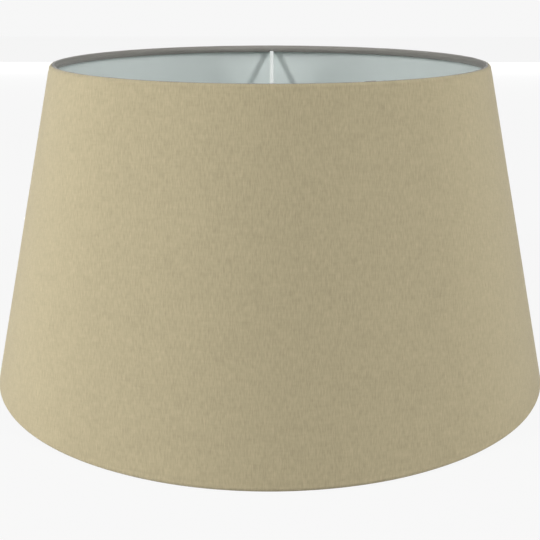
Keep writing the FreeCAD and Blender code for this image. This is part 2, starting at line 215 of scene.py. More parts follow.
lights = {
    "keyLeft": {"azimuth": -58, "elevation": 26, "size": (0.28, 1.4), "power": 39},
    "keyRight": {"azimuth": 58, "elevation": 26, "size": (0.28, 1.4), "power": 38},
    "sideLeft": {"azimuth": -80, "elevation": 0, "size": (0.9, 0.2), "power": 36},
    "sideRight": {"azimuth": 88, "elevation": 0, "size": (0.9, 0.2), "power": 16},
    "rear": {"azimuth": 180, "elevation": 0, "size": (2.6, 0.2), "power": 62},
    "overhead": {"azimuth": 0, "elevation": 89, "size": (1.2, 1.2), "power": 10},
}


def smooth(value, start, end):
    share = min(1, max(0, (value - start) / (end - start)))
    return share * share * (3 - 2 * share)


def station(centre, angle, along):
    return {"centre": centre, "angle": math.radians(angle), "along": along}


def wallStations(rows, fromTop=0, fromBase=0, crowding=0.115):
    # rows crowd towards both rims, where the shape changes most
    made = []
    length = wallLength - fromTop - fromBase
    for row in range(rows + 1):
        share = row / rows
        share -= crowding * math.sin(2 * math.pi * share)
        along = fromTop + min(1, max(0, share)) * length
        centre = topRing.lerp(baseRing, along / wallLength)
        made.append(station(centre, math.degrees(lean), along))
    return made


def roundStations(ring, start, end, rows, alongStart, direction):
    made = []
    for row in range(rows + 1):
        angle = start + (end - start) * row / rows
        turned = abs(math.radians(angle - (start if direction > 0 else end)))
        made.append(station(ring, angle, alongStart + direction * turned * rollRadius))
    return made


def sectionPoint(place, out):
    return place["centre"] + Vector((math.cos(place["angle"]), math.sin(place["angle"]))) * out


def onFloor(out, place):
    # the bottom rim flattens where it stands
    under = -math.sin(place["angle"])
    return min(out, place["centre"].y / under) if under > 0.5 else out


def spun(point, azimuth):
    # a section's point, turned to its place round the axis (azimuth in radians)
    return Vector((point.x * math.cos(azimuth), point.x * math.sin(azimuth), point.y))


def flatPlace(along, azimuth):
    # where a point of the wall lies on the flat cut, a sector of a ring; the threads run
    # straight up and down the cut at the front
    slant = (topRing.x + rollRadius * math.cos(lean)) / math.sin(lean) + along
    swing = (azimuth - math.radians(frontAzimuth)) * math.sin(lean)
    return slant * math.sin(swing), -slant * math.cos(swing)


def makeShell(name, sections, uvs, closed=False, sharp=35):
    # sections: one closed loop of points for each column, outer side first; uvs alike
    count = len(sections[0])
    points = [tuple(p) for section in sections for p in section]
    flat = [uv for column in uvs for uv in column]
    faces = []
    columns = len(sections)
    for column in range(columns if closed else columns - 1):
        following = (column + 1) % columns
        for row in range(count):
            below = (row + 1) % count
            a, b = column * count, following * count
            faces.append((a + row, a + below, b + below, b + row))
    if not closed:
        half = count // 2
        last = (columns - 1) * count
        for row in range(half - 1):
            other = count - 1 - row
            faces.append((row, other, other - 1, row + 1))
            faces.append((last + row, last + row + 1, last + other - 1, last + other))
    mesh = bpy.data.meshes.new(name)
    mesh.from_pydata(points, [], faces)
    layer = mesh.uv_layers.new(name="flat")
    for loop in mesh.loops:
        layer.data[loop.index].uv = flat[loop.vertex_index]
    for face in mesh.polygons:
        face.use_smooth = True
    mesh.set_sharp_from_angle(angle=math.radians(sharp))
    mesh.validate()
    made = bpy.data.objects.new(name, mesh)
    bpy.context.scene.collection.objects.link(made)
    return faceOut(made)


def faceOut(made):
    # closed shells: the enclosed volume says which way the faces look
    volume = 0
    points = made.data.vertices
    for face in made.data.polygons:
        first = points[face.vertices[0]].co
        for second, third in zip(face.vertices[1:], face.vertices[2:]):
            volume += first.dot(points[second].co.cross(points[third].co))
    if volume < 0:
        made.data.flip_normals()
    return made


def coverLift(along, beyond):
    # beyond: distance along the cloth past the lap's root
    clear = cover["lapClear"]
    ends = smooth(along, clear, clear + cover["lapFade"])
    ends *= smooth(wallLength - along, clear, clear + cover["lapFade"])
    rise = smooth(beyond, -cover["lapRise"], 0)
    return cover["lapLift"] * ends * rise


def coverOut(place, azimuth, beyond):
    angle = math.degrees(place["angle"])
    along = place["along"]
    out = rollRadius + coverLift(along, beyond)
    pressedFrom = cover["topPressed" if angle > 0 else "basePressed"]
    pressed = smooth(abs(angle), pressedFrom, pressedFrom + cover["pressedOver"])
    out -= cover["pressed"] * pressed
    if 0 < along < wallLength:
        nearest = min(along, wallLength - along)
        if nearest < cover["dipLength"]:
            out -= cover["dip"] * math.sin(math.pi * nearest / cover["dipLength"]) ** 2
    u, v = flatPlace(along, azimuth)
    wave = noise.noise(Vector((u, v, 0.7)) / cover["rippleSize"])
    fine = noise.noise(Vector((u, v, 3.1)) / cover["fineSize"])
    uneven = cover["ripple"] * (wave + cover["fineShare"] * fine)
    return onFloor(out + uneven * (1 - pressed), place)


def coverStations():
    normal, rows = math.degrees(lean), cover["rimRows"]
    arc = roundStations(topRing, cover["topEnd"], normal, rows, 0, -1)
    wall = wallStations(cover["wallRows"])
    base = roundStations(baseRing, normal, cover["baseEnd"], rows, wallLength, 1)
    return arc + wall[1:-1] + base


def coverColumns():
    # (share of a turn, distance past it in metres); None is the trimmed start
    columns = [(0, None), (0, cover["beforeFirst"])]
    for step in range(cover["firstColumn"], cover["lastColumn"] + 1):
        columns.append((step / cover["columnsInTurn"], 0))
    distances = list(cover["lapRiseColumns"])
    distances += [0.001 * step for step in range(1, cover["lapFlatColumns"] + 1)]
    distances += [cover["lapWidth"] - cover["edgeFold"] * share for share in cover["lapFoldColumns"]]
    return columns + [(1, distance) for distance in distances]


def makeCover():
    stations = coverStations()
    rear = math.radians(rearAzimuth)
    sections, uvs = [], []
    for share, distance in coverColumns():
        outer, inner, flat = [], [], []
        for place in stations:
            across = sectionPoint(place, rollRadius).x
            along = place["along"]
            if distance is None:
                clear = cover["lapClear"] + cover["lapFade"]
                inRange = smooth(along, clear, clear + cover["trimOver"])
                inRange *= smooth(wallLength - along, clear, clear + cover["trimOver"])
                beyond = cover["trim"] * (1 - inRange)
            else:
                beyond = distance
            azimuth = rear + share * 2 * math.pi + beyond / across
            past = (share - 1) * 2 * math.pi * across + beyond
            out = coverOut(place, azimuth if share < 1 else azimuth - 2 * math.pi, past)
            left = cover["lapWidth"] - past
            thin = 0  # grows to 1 at the lap's free edge
            if share == 1 and left < cover["edgeFold"]:
                thin = 1 - math.sqrt(max(0, 1 - (1 - left / cover["edgeFold"]) ** 2))
            under = max(hemRadius, min(out - cover["thinnest"], hemRadius + coverLift(along, past)))
            middle = (out + under) / 2
            out += (middle - out) * thin * cover["edgeSink"]
            under += (middle - under) * thin * cover["edgeLift"]
            outer.append(spun(sectionPoint(place, out), azimuth))
            inner.append(spun(sectionPoint(place, under), azimuth))
            flat.append(flatPlace(along, azimuth))
        sections.append(outer + inner[::-1])
        uvs.append(flat + flat[::-1])
    return makeShell("fabricCover", sections, uvs)


def makeSeamTape():
    # the strip between the lap's two layers, short of both rims
    clear = cover["lapClear"] + cover["lapFade"]
    stations = wallStations(seam["rows"], clear, clear)
    sections, uvs = [], []
    for step in range(seam["columns"] + 1):
        across = seam["inset"] + seam["width"] * step / seam["columns"]
        outer, inner, flat = [], [], []
        for place in stations:
            azimuth = math.radians(rearAzimuth) + across / sectionPoint(place, rollRadius).x
            outer.append(spun(sectionPoint(place, rollRadius + seam["thickness"]), azimuth))
            inner.append(spun(sectionPoint(place, rollRadius + seam["clearance"]), azimuth))
            flat.append((across, place["along"]))
        sections.append(outer + inner[::-1])
        uvs.append(flat + flat[::-1])
    return makeShell("seamTape", sections, uvs)


def makeLiner():
    stations = wallStations(liner["rows"], liner["setBack"], liner["setBack"])
    rear = math.radians(rearAzimuth)
    sections, uvs = [], []
    inside = hemRadius - liner["thickness"]
    for column in range(liner["columns"] + 1):
        outer, inner, flat = [], [], []
        for place in stations:
            across = sectionPoint(place, inside).x
            gap = liner["buttGap"] / 2 / across
            azimuth = rear + gap + (2 * math.pi - 2 * gap) * column / liner["columns"]
            u, v = flatPlace(place["along"], azimuth)
            bow = liner["bow"] * noise.noise(Vector((u, v, 8.3)) / liner["bowSize"])
            outer.append(spun(sectionPoint(place, hemRadius - liner["clearance"]), azimuth))
            inner.append(spun(sectionPoint(place, inside + bow), azimuth))
            flat.append((u, v))
        sections.append(outer + inner[::-1])
        uvs.append(flat + flat[::-1])
    return makeShell("linerPanel", sections, uvs)


def notchEnd(fromLeg, full):
    # where the tape stops round the wire, at a distance along the rim from a leg's axis
    half = edgeTape["notchHalf"]
    if abs(fromLeg) >= half:
        return full
    arch = half - math.sqrt(half * half - fromLeg * fromLeg)
    return edgeTape["notchTop"] + math.degrees(arch / rollRadius)


def tapeColumns(legs, radius):
    # azimuths in degrees from the lap, closer together at each leg's notch
    start = edgeTape["lapAzimuth"]
    step = 360 / edgeTape["columns"]
    azimuths = [start + step * index for index in range(edgeTape["columns"] + 1)]
    near = [edgeTape["notchHalf"] * share for share in edgeTape["notchColumns"]]
    near += [-distance for distance in near[1:]]
    reach = math.degrees(edgeTape["notchReach"] / radius)
    for leg in legs:
        turned = (leg - start) % 360 + start
        azimuths = [a for a in azimuths if abs(a - turned) > reach]
        azimuths += [turned + math.degrees(distance / radius) for distance in near]
    lap = math.degrees(edgeTape["lapWidth"] / radius)
    azimuths += [start + 360 + lap * share for share in edgeTape["lapColumns"]]
    return sorted(azimuths)


def makeEdgeTape(name, atTop, legs):
    ring = topRing if atTop else baseRing
    side = 1 if atTop else -1
    start = edgeTape["topStart" if atTop else "baseStart"]
    full = 360 - edgeTape["topTuck" if atTop else "baseTuck"] + side * math.degrees(lean)
    sections, uvs = [], []
    for azimuth in tapeColumns(legs, ring.x):
        fromLeg = 1.0  # along the rim to the nearest leg, a metre where there is none
        for leg in legs:
            away = (azimuth - leg + 180) % 360 - 180
            if abs(math.radians(away) * ring.x) < abs(fromLeg):
                fromLeg = math.radians(away) * ring.x
        end = notchEnd(fromLeg, full)
        past = math.radians(azimuth - edgeTape["lapAzimuth"] - 360) * ring.x
        lift = edgeTape["lapLift"] * smooth(past, *edgeTape["lapRise"])
        outer, inner, flat = [], [], []
        for row in range(edgeTape["rows"] + 1):
            share = row / edgeTape["rows"]
            angle = start + (end - start) * share
            until = edgeTape["overUntil"]
            onCloth = 1 - smooth(angle, until, until + edgeTape["overFade"])
            under = hemRadius + edgeTape["overCloth"] * onCloth + lift
            along = math.radians(angle - start) * rollRadius
            rim = math.radians(azimuth) * ring.x
            wave = noise.noise(Vector((rim, along * 2, 5.5 + side)) / edgeTape["rippleSize"])
            fromRidge = (along - edgeTape["selvedgeAt"]) / edgeTape["selvedgeSize"]
            selvedge = edgeTape["selvedge"] * math.exp(-fromRidge ** 2)
            fromNotch = max(0, abs(fromLeg) - edgeTape["notchHalf"]) / edgeTape["notchLipSize"]
            around = smooth(angle, edgeTape["notchTop"] - edgeTape["notchFade"], edgeTape["notchTop"])
            lip = edgeTape["notchLip"] * math.exp(-fromNotch ** 2) * around
            sag = edgeTape["sag"] * smooth(angle, edgeTape["sagFrom"], edgeTape["sagUntil"])
            out = rollRadius + lift + selvedge + lip + sag + edgeTape["ripple"] * wave
            # the two long edges are rounded, not cut square
            margin = min(along, math.radians(end - angle) * rollRadius)
            pinch = 0.5 * (1 - smooth(margin, 0, edgeTape["edgeRound"]))
            if azimuth >= edgeTape["lapAzimuth"] + 360:
                ending = edgeTape["lapWidth"] - past
                pinch = max(pinch, 0.5 * (1 - smooth(ending, 0, edgeTape["endRound"])))
            place = station(ring, angle if atTop else -angle, along)
            turned = math.radians(azimuth)
            out = onFloor(out, place)
            pinch *= out - under
            outer.append(spun(sectionPoint(place, out - pinch * edgeTape["outerPinch"]), turned))
            inner.append(spun(sectionPoint(place, under + pinch * edgeTape["innerPinch"]), turned))
            flat.append((rim, along))
        sections.append(outer + inner[::-1])
        uvs.append(flat + flat[::-1])
    return makeShell(name, sections, uvs)


def addSocket(tree, name, kind, default=None):
    socket = tree.interface.new_socket(name, in_out="INPUT", socket_type=kind)
    if default is not None:
        socket.default_value = default


def nodeMaker(tree):
    # makes a node and sets its inputs, each from a value or from another node's socket
    def make(kind, inputs=(), **settings):
        made = tree.nodes.new(kind)
        for key, value in settings.items():
            setattr(made, key, value)
        for place, value in (inputs.items() if isinstance(inputs, dict) else enumerate(inputs)):
            if value is None:
                continue
            if isinstance(value, bpy.types.NodeSocket):
                tree.links.new(value, made.inputs[place])
            else:
                made.inputs[place].default_value = value
        return made
    return make


def spokeTree():
    tree = bpy.data.node_groups.new("bentSpoke", "GeometryNodeTree")
    for name, default in (
        ("legTopAcross", 0.1475), ("legTopHeight", 0.22), ("cornerAcross", 0.137), ("armHeight", 0.174),
        ("armEnd", 0.03), ("bendRadius", 0.008), ("wireRadius", 0.0017), ("azimuth", 0.0),
        ("weldFlare", 0.5), ("weldLength", 0.001), ("endRound", 0.0006), ("endShare", 0.35),
        ("pointSpacing", 0.0006),
    ):
        addSocket(tree, name, "NodeSocketFloat", default)
    addSocket(tree, "bendPoints", "NodeSocketInt", 12)
    addSocket(tree, "sides", "NodeSocketInt", 20)
    addSocket(tree, "material", "NodeSocketMaterial")
    tree.interface.new_socket("Geometry", in_out="OUTPUT", socket_type="NodeSocketGeometry")
    make = nodeMaker(tree)
    entry = tree.nodes.new("NodeGroupInput")
    given = {socket.name: socket for socket in entry.outputs}
    # leg and arm meet at a corner, which is then rounded to the bend
    corners = []
    for across, height in (
        ("legTopAcross", "legTopHeight"), ("cornerAcross", "armHeight"), ("armEnd", "armHeight"),
    ):
        corners.append(make("ShaderNodeCombineXYZ", (given[across], None, given[height])).outputs[0])
    line = make("GeometryNodeCurvePrimitiveLine", {0: corners[0], 1: corners[1]})
    arm = make("GeometryNodeCurvePrimitiveLine", {0: corners[1], 1: corners[2]})
    joined = make("GeometryNodeJoinGeometry")
    mesh = make("GeometryNodeCurveToMesh")
    tree.links.new(arm.outputs[0], joined.inputs[0])
    tree.links.new(line.outputs[0], joined.inputs[0])
    tree.links.new(joined.outputs[0], mesh.inputs[0])
    merged = make("GeometryNodeMergeByDistance", {0: mesh.outputs[0], 2: 0.00001})
    curve = make("GeometryNodeMeshToCurve", (merged.outputs[0],))
    rounded = make(
        "GeometryNodeFilletCurve",
        {"Curve": curve.outputs[0], "Count": given["bendPoints"], "Radius": given["bendRadius"]},
        mode="POLY",
    )
    fine = make(
        "GeometryNodeResampleCurve",
        {"Curve": rounded.outputs[0], "Length": given["pointSpacing"]},
        mode="LENGTH",
    )
    # the wire swells into the weld at the fitter and is rounded off at the ring
    spot = make("GeometryNodeInputPosition")
    apart = make("ShaderNodeSeparateXYZ", (spot.outputs[0],))
    fromFitter = make("ShaderNodeMath", (apart.outputs[0], given["armEnd"]), operation="SUBTRACT")
    scaled = make("ShaderNodeMath", (fromFitter.outputs[0], given["weldLength"]), operation="DIVIDE")
    minus = make("ShaderNodeMath", (scaled.outputs[0], -1.0), operation="MULTIPLY")
    fade = make("ShaderNodeMath", (minus.outputs[0],), operation="EXPONENT")
    flare = make("ShaderNodeMath", (fade.outputs[0], given["weldFlare"]), operation="MULTIPLY")
    fromTop = make("ShaderNodeMath", (given["legTopHeight"], apart.outputs[2]), operation="SUBTRACT")
    share = make("ShaderNodeMath", (fromTop.outputs[0], given["endRound"]), operation="DIVIDE")
    capped = make("ShaderNodeClamp", (share.outputs[0], 0.0, 1.0))
    rest = make("ShaderNodeMath", (1.0, capped.outputs[0]), operation="SUBTRACT")
    square = make("ShaderNodeMath", (rest.outputs[0], rest.outputs[0]), operation="MULTIPLY")
    left = make("ShaderNodeMath", (1.0, square.outputs[0]), operation="SUBTRACT")
    root = make("ShaderNodeMath", (left.outputs[0],), operation="SQRT")
    endScale = make("ShaderNodeMapRange", {"Value": root.outputs[0], "To Min": given["endShare"]})
    grown = make("ShaderNodeMath", (1.0, flare.outputs[0]), operation="ADD")
    both = make("ShaderNodeMath", (grown.outputs[0], endScale.outputs[0]), operation="MULTIPLY")
    radius = make("ShaderNodeMath", (both.outputs[0], given["wireRadius"]), operation="MULTIPLY")
    circle = make("GeometryNodeCurvePrimitiveCircle", {"Resolution": given["sides"], "Radius": 1.0})
    body = make("GeometryNodeCurveToMesh", {
        "Curve": fine.outputs[0], "Profile Curve": circle.outputs[0],
        "Scale": radius.outputs[0], "Fill Caps": True,
    })
    turned = make("ShaderNodeCombineXYZ", (None, None, given["azimuth"]))
    placed = make("GeometryNodeTransform", {"Geometry": body.outputs[0], "Rotation": turned.outputs[0]})
    softened = make("GeometryNodeSetShadeSmooth", {"Geometry": placed.outputs[0]})
    real = make("GeometryNodeRealizeInstances", (softened.outputs[0],))
    painted = make("GeometryNodeSetMaterial", {"Geometry": real.outputs[0], "Material": given["material"]})
    leave = tree.nodes.new("NodeGroupOutput")
    tree.links.new(painted.outputs[0], leave.inputs[0])
    return tree


def makeSpoke(name, tree, material):
    low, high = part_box("fitter_ring")
    leg = math.radians(spoke["legLean"])
    topHeight = topRing.y - spoke["topDrop"] - spoke["shorter"]
    topAcross = topRing.x - spoke["inset"] - spoke["shorter"] * math.tan(leg)
    armHeight = low.z + spoke["armAboveSeat"]
    values = {
        "legTopAcross": topAcross,
        "legTopHeight": topHeight,
        "cornerAcross": topAcross - (topHeight - armHeight) * math.tan(leg),
        "armHeight": armHeight,
        "armEnd": high.x - fitter["sheet"] / 2,
        "bendRadius": spoke["bend"],
        "wireRadius": wireRadius,  # the spokes are of the rings' wire
        "azimuth": math.radians(spoke["azimuths"][name]),
        "weldFlare": spoke["weldFlare"],
        "weldLength": spoke["weldLength"],
        "endRound": spoke["endRound"],
        "endShare": spoke["endShare"],
        "pointSpacing": spoke["pointSpacing"],
        "bendPoints": spoke["bendPoints"],
        "sides": spoke["sides"],
        "material": material,
    }
    carrier = bpy.data.objects.new(name, bpy.data.meshes.new(name))
    bpy.context.scene.collection.objects.link(carrier)
    modifier = carrier.modifiers.new("bentSpoke", "NODES")
    modifier.node_group = tree
    sockets = {item.name: item.identifier for item in tree.interface.items_tree if item.in_out == "INPUT"}
    for key, value in values.items():
        modifier[sockets[key]] = value
    bpy.context.view_layer.update()
    evaluated = carrier.evaluated_get(bpy.context.evaluated_depsgraph_get())
    carrier.data = bpy.data.meshes.new_from_object(evaluated)
    carrier.modifiers.remove(modifier)
    carrier.data.name = name
    return faceOut(carrier)


def roundedCorner(before, corner, after, radius):
    steps = fitter["cornerSteps"]
    back = (before - corner).normalized()
    on = (after - corner).normalized()
    half = back.angle(on) / 2
    room = min((before - corner).length, (after - corner).length)
    reach = min(radius / math.tan(half), 0.49 * room)  # short of the next corner's rounding
    first, last = corner + back * reach, corner + on * reach
    made = []
    for step in range(steps + 1):
        t = step / steps
        made.append(first * (1 - t) ** 2 + corner * 2 * t * (1 - t) + last * t * t)
    return made


def makeFitter():
    low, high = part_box("fitter_ring")
    sheet, edge = fitter["sheet"], fitter["edgeRound"]
    outline = [
        (fitter["bore"], low.z, edge),
        (high.x, low.z, fitter["innerBend"] + sheet),
        (high.x, high.z, edge),
        (high.x - sheet, high.z, edge),
        (high.x - sheet, low.z + sheet, fitter["innerBend"]),
        (fitter["bore"], low.z + sheet, edge),
    ]
    corners = [Vector(item[:2]) for item in outline]
    loop = []
    for index, (_, _, radius) in enumerate(outline):
        before, after = corners[index - 1], corners[(index + 1) % len(corners)]
        loop += roundedCorner(before, corners[index], after, radius)
    sections, uvs = [], []
    for segment in range(fitter["segments"]):
        azimuth = 2 * math.pi * segment / fitter["segments"]
        oval = 1 + fitter["pressMark"] / high.x * math.sin(3 * azimuth + fitter["pressTurn"])
        sections.append([spun(Vector((p.x * oval, p.y)), azimuth) for p in loop])
        uvs.append([(azimuth * high.x, p.y) for p in loop])
    return makeShell("fitterRing", sections, uvs, closed=True)


def newMaterial(name, settings):
    # the shader's constant values are set on its own sockets
    material = bpy.data.materials.new(name)
    material.use_nodes = True
    tree = material.node_tree
    shader = next(n for n in tree.nodes if n.type == "BSDF_PRINCIPLED")
    for key, value in settings.items():
        shader.inputs[key].default_value = value
    return material, tree, shader, nodeMaker(tree)


def stretchedNoise(make, source, stretch, detail, roughness, seed):
    # noise on coordinates scaled by stretch, in repeats for each metre
    moved = make("ShaderNodeMapping", {"Vector": source, "Location": (seed, seed * 0.37, seed * 0.61),
                                       "Scale": stretch}, vector_type="POINT")
    made = make("ShaderNodeTexNoise", {"Vector": moved.outputs[0], "Scale": 1.0, "Detail": detail,
                                       "Roughness": roughness})
    return made.outputs[0]


def ranged(make, value, low, high, fromLow=0.0, fromHigh=1.0):
    return make("ShaderNodeMapRange", {"Value": value, "From Min": fromLow, "From Max": fromHigh,
                                       "To Min": low, "To Max": high}).outputs[0]


def calc(make, operation, first, second=None):
    return make("ShaderNodeMath", (first, second), operation=operation).outputs[0]


def colourBy(tree, make, shader, colour, tone):
    # the piece's colour, lighter and darker with the tone
    scaled = make("ShaderNodeVectorMath", {0: colour, "Scale": tone}, operation="SCALE")
    tree.links.new(scaled.outputs[0], shader.inputs["Base Color"])


def reliefBy(tree, make, shader, height, strength, depth):
    bump = make("ShaderNodeBump", {"Strength": strength, "Distance": depth, "Height": height})
    tree.links.new(bump.outputs[0], shader.inputs["Normal"])


cloth = {
    "colour": (0.439, 0.378, 0.237),
    "roughness": 0.9,
    "specular": 0.35,
    "sheen": 0.25,
    "sheenRoughness": 0.45,
    "wander": 0.0009,  # how far the threads stray
    "wanderScale": (140, 24, 1),  # scales are repeats for each metre across and up the cloth
    "driftScale": (20, 160, 1),
    "streak": 0.125,
    "warpScale": (1600, 230, 1),
    "weftScale": (190, 900, 1),
    "weftShare": 0.3,
    "slub": 0.03,
    "slubScale": (620, 70, 1),
    "slubAcrossScale": (60, 560, 1),
    "heather": 0.018,
    "heatherScale": (70, 70, 1),
    # painted shade: the cloth is darker in the hollows between threads and lighter on their crests
    "weaveHollowShade": (0.90, 1.05),
    "bump": 0.35,
    "depth": 0.00015,
}


def plainWeave(make, u, v, pitch):
    # warp and weft pass over and under each other at every thread
    a = calc(make, "MULTIPLY", u, math.pi / pitch)
    b = calc(make, "MULTIPLY", v, math.pi / pitch)
    across, up = calc(make, "SINE", a), calc(make, "SINE", b)
    over = calc(make, "MULTIPLY", calc(make, "MULTIPLY", across, up), 0.5)
    warp = calc(make, "ADD", calc(make, "ABSOLUTE", across), over)
    weft = calc(make, "SUBTRACT", calc(make, "ABSOLUTE", up), over)
    return calc(make, "MAXIMUM", warp, weft)


def clothMaterial():
    material, tree, shader, make = newMaterial("beigeCloth", {
        "Roughness": cloth["roughness"],
        "Specular IOR Level": cloth["specular"],
        "Sheen Weight": cloth["sheen"],
        "Sheen Roughness": cloth["sheenRoughness"],
    })
    uv = make("ShaderNodeUVMap", uv_map="flat").outputs[0]
    apart = make("ShaderNodeSeparateXYZ", (uv,))
    wander = stretchedNoise(make, uv, cloth["wanderScale"], 2, 0.5, 3.7)
    drift = stretchedNoise(make, uv, cloth["driftScale"], 2, 0.5, 8.1)
    u = calc(make, "ADD", apart.outputs[0], ranged(make, wander, -cloth["wander"], cloth["wander"]))
    v = calc(make, "ADD", apart.outputs[1], ranged(make, drift, -cloth["wander"], cloth["wander"]))
    weave = plainWeave(make, u, v, cover["threadPitch"])
    # thicker and thinner yarn, up and down the cloth and across it
    warpStreak = stretchedNoise(make, uv, cloth["warpScale"], 2, 0.5, 1.3)
    weftStreak = stretchedNoise(make, uv, cloth["weftScale"], 2, 0.5, 5.9)
    slubLong = stretchedNoise(make, uv, cloth["slubScale"], 2, 0.5, 11.2)
    slubAcross = stretchedNoise(make, uv, cloth["slubAcrossScale"], 2, 0.5, 17.9)
    heather = stretchedNoise(make, uv, cloth["heatherScale"], 3, 0.6, 23.4)
    warpTone, weftTone = cloth["streak"], cloth["weftShare"] * cloth["streak"]
    tone = ranged(make, warpStreak, 1 - warpTone, 1 + warpTone, 0.25, 0.75)
    for part in (
        ranged(make, weftStreak, -weftTone, weftTone, 0.25, 0.75),
        ranged(make, slubLong, 0, cloth["slub"], 0.6, 0.8),
        ranged(make, slubAcross, 0, -0.5 * cloth["slub"], 0.62, 0.8),
        ranged(make, heather, -cloth["heather"], cloth["heather"], 0.3, 0.7),
    ):
        tone = calc(make, "ADD", tone, part)
    # painted shade of the weave: the colour is darker where the weave is low and lighter where it is high
    tone = calc(make, "MULTIPLY", tone, ranged(make, weave, *cloth["weaveHollowShade"], 0.2, 1.4))
    colourBy(tree, make, shader, cloth["colour"], tone)
    height = calc(make, "ADD", calc(make, "MULTIPLY", weave, 0.5), calc(make, "MULTIPLY", warpStreak, 0.5))
    height = calc(make, "ADD", height, calc(make, "MULTIPLY", weftStreak, 0.3))
    reliefBy(tree, make, shader, height, cloth["bump"], cloth["depth"])
    return material


plastic = {
    "colour": (0.83, 0.90, 0.88),
    "roughness": (0.38, 0.5),
    "specular": 0.4,
    "cloudScale": (26, 26, 26),
    "cloudTone": (0.985, 1.015),
    "grainScale": (2400, 2400, 2400),
    "grainBump": 0.15,
    "grainDepth": 0.00003,
}


def linerMaterial():
    settings = {"Specular IOR Level": plastic["specular"]}
    material, tree, shader, make = newMaterial("whitePanel", settings)
    place = make("ShaderNodeTexCoord").outputs["Object"]
    cloudy = stretchedNoise(make, place, plastic["cloudScale"], 3, 0.5, 2.2)
    grain = stretchedNoise(make, place, plastic["grainScale"], 2, 0.5, 6.6)
    tone = ranged(make, cloudy, *plastic["cloudTone"], 0.3, 0.7)
    colourBy(tree, make, shader, plastic["colour"], tone)
    rough = ranged(make, cloudy, *plastic["roughness"], 0.3, 0.7)
    tree.links.new(rough, shader.inputs["Roughness"])
    reliefBy(tree, make, shader, grain, plastic["grainBump"], plastic["grainDepth"])
    return material


tape = {
    "colour": (0.300, 0.287, 0.262),
    "roughness": 0.8,
    "specular": 0.35,
    "sheen": 0.35,
    "sheenRoughness": 0.5,
    "pitch": 0.00036,
    "wander": 0.0003,
    "wanderScale": (60, 500, 1),
    "streak": 0.16,
    "streakScale": (60, 1900, 1),
    "broad": 0.07,
    "broadScale": (22, 500, 1),
    # painted shade: the tape is darker in the hollows between threads and lighter on their crests
    "weaveHollowShade": (0.85, 1.08),
    "bump": 0.4,
    "depth": 0.00012,
}


def tapeMaterial():
    material, tree, shader, make = newMaterial("wovenTape", {
        "Roughness": tape["roughness"],
        "Specular IOR Level": tape["specular"],
        "Sheen Weight": tape["sheen"],
        "Sheen Roughness": tape["sheenRoughness"],
    })
    uv = make("ShaderNodeUVMap", uv_map="flat").outputs[0]
    apart = make("ShaderNodeSeparateXYZ", (uv,))
    wander = stretchedNoise(make, uv, tape["wanderScale"], 2, 0.5, 4.4)
    v = calc(make, "ADD", apart.outputs[1], ranged(make, wander, -tape["wander"], tape["wander"]))
    weave = plainWeave(make, apart.outputs[0], v, tape["pitch"])
    streak = stretchedNoise(make, uv, tape["streakScale"], 3, 0.6, 9.3)
    broad = stretchedNoise(make, uv, tape["broadScale"], 2, 0.5, 14.3)
    tone = calc(make, "ADD", ranged(make, streak, 1 - tape["streak"], 1 + tape["streak"], 0.25, 0.75),
                ranged(make, broad, -tape["broad"], tape["broad"], 0.3, 0.7))
    # painted shade of the weave: the colour is darker where the weave is low and lighter where it is high
    tone = calc(make, "MULTIPLY", tone, ranged(make, weave, *tape["weaveHollowShade"], 0.2, 1.4))
    colourBy(tree, make, shader, tape["colour"], tone)
    height = calc(make, "ADD", calc(make, "MULTIPLY", weave, 0.6), calc(make, "MULTIPLY", streak, 0.5))
    reliefBy(tree, make, shader, height, tape["bump"], tape["depth"])
    return material


coat = {
    "looks": {  # colour and lowest roughness
        "whiteCoat": ((0.88, 0.91, 0.89), 0.30),
        "ringCoat": ((0.74, 0.76, 0.74), 0.35),
    },
    "roughnessSpread": 0.13,
    "specular": 0.5,
    "gloss": 0.25,
    "glossRoughness": 0.2,
    "peelScale": (900, 900, 900),
    "soilScale": (120, 120, 120),
    "soilTone": (0.96, 1.02),
    "bump": 0.1,
    "depth": 0.00003,
}


def coatMaterial(name):
    colour, roughness = coat["looks"][name]
    material, tree, shader, make = newMaterial(name, {
        "Specular IOR Level": coat["specular"],
        "Coat Weight": coat["gloss"],
        "Coat Roughness": coat["glossRoughness"],
    })
    place = make("ShaderNodeTexCoord").outputs["Object"]
    peel = stretchedNoise(make, place, coat["peelScale"], 2, 0.5, 1.9)
    soil = stretchedNoise(make, place, coat["soilScale"], 3, 0.6, 7.7)
    colourBy(tree, make, shader, colour, ranged(make, soil, *coat["soilTone"], 0.3, 0.7))
    rough = ranged(make, soil, roughness, roughness + coat["roughnessSpread"], 0.3, 0.7)
    tree.links.new(rough, shader.inputs["Roughness"])
    reliefBy(tree, make, shader, peel, coat["bump"], coat["depth"])
    return material


film = {
    "colour": (0.70, 0.68, 0.60),
    "roughness": (0.25, 0.45),
    "specular": 0.5,
    "gloss": 0.3,
    "glossRoughness": 0.3,
    "fibreScale": (500, 500, 1500),
    "fibreTone": (0.9, 1.05),
}


def filmMaterial():
    material, tree, shader, make = newMaterial("tapeFilm", {
        "Specular IOR Level": film["specular"],
        "Coat Weight": film["gloss"],
        "Coat Roughness": film["glossRoughness"],
    })
    place = make("ShaderNodeTexCoord").outputs["Object"]
    fibre = stretchedNoise(make, place, film["fibreScale"], 3, 0.6, 12.1)
    colourBy(tree, make, shader, film["colour"], ranged(make, fibre, *film["fibreTone"], 0.3, 0.7))
    rough = ranged(make, fibre, *film["roughness"], 0.3, 0.7)
    tree.links.new(rough, shader.inputs["Roughness"])
    return material


